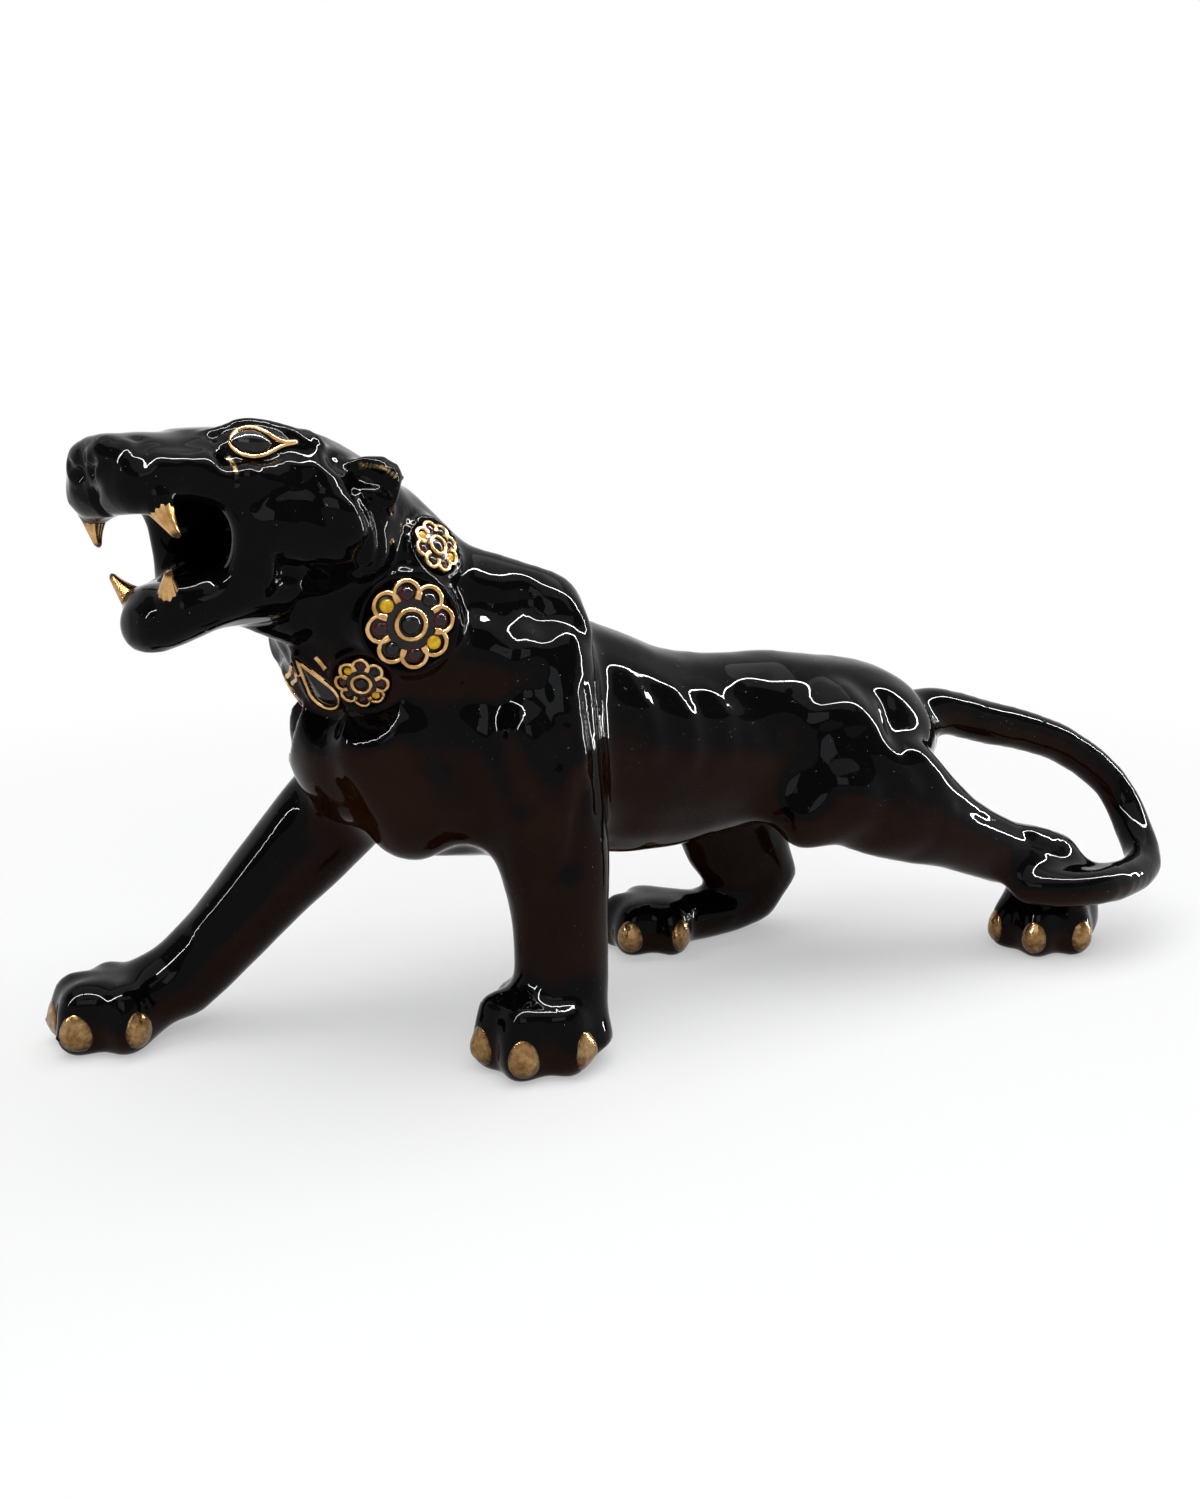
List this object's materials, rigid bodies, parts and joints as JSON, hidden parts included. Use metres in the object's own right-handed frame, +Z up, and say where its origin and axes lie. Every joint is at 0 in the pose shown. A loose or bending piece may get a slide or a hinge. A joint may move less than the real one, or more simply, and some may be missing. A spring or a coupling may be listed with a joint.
{
  "type": "ceramic panther statue",
  "caption": "Stalking black panther statue in glazed ceramic, roaring with its head turned, with a jewelled floral collar, gold fangs and claws and a curled tail.",
  "frame": {"origin": "middle of the figure's plan outline, on the surface that the paws stand on", "axes": "+X from the head to the tail, +Y towards the panther's right side, +Z up"},
  "size_m": [0.5393, 0.1653, 0.2565],
  "materials": {
    "black_glaze": "high gloss black glaze",
    "dark_glaze": "gloss brown-black glaze",
    "black_enamel": "gloss black enamel",
    "yellow_enamel": "gloss yellow enamel",
    "red_enamel": "gloss dark red enamel",
    "gold_lustre": "worn gold lustre over glaze"
  },
  "bodies": {
    "root": {"torso": "black_glaze", "head": "black_glaze", "lower_jaw": "black_glaze", "ear_left": "black_glaze", "ear_right": "black_glaze", "foreleg_left": "black_glaze", "foreleg_right": "black_glaze", "hindleg_left": "black_glaze", "hindleg_right": "black_glaze", "tail": "black_glaze", "upper_fang_left": "gold_lustre", "upper_fang_right": "gold_lustre", "lower_fang_left": "gold_lustre", "lower_fang_right": "gold_lustre", "eye_left": "black_enamel", "eye_right": "black_enamel", "eye_line_left": "gold_lustre", "eye_line_right": "gold_lustre", "nape_medallion_left": "dark_glaze", "nape_medallion_right": "dark_glaze", "side_medallion_left": "dark_glaze", "side_medallion_right": "dark_glaze", "throat_medallion_left": "dark_glaze", "throat_medallion_right": "dark_glaze", "pendant": "black_enamel", "nape_tracery_left": "gold_lustre", "nape_tracery_right": "gold_lustre", "side_tracery_left": "gold_lustre", "side_tracery_right": "gold_lustre", "throat_tracery_left": "gold_lustre", "throat_tracery_right": "gold_lustre", "pendant_rim": "gold_lustre", "throat_strands": "gold_lustre", "yellow_stones": "yellow_enamel", "red_stones": "red_enamel", "black_stones": "black_enamel", "claws_fore_left": "gold_lustre", "claws_fore_right": "gold_lustre", "claws_hind_left": "gold_lustre", "claws_hind_right": "gold_lustre"}
  },
  "joints": []
}
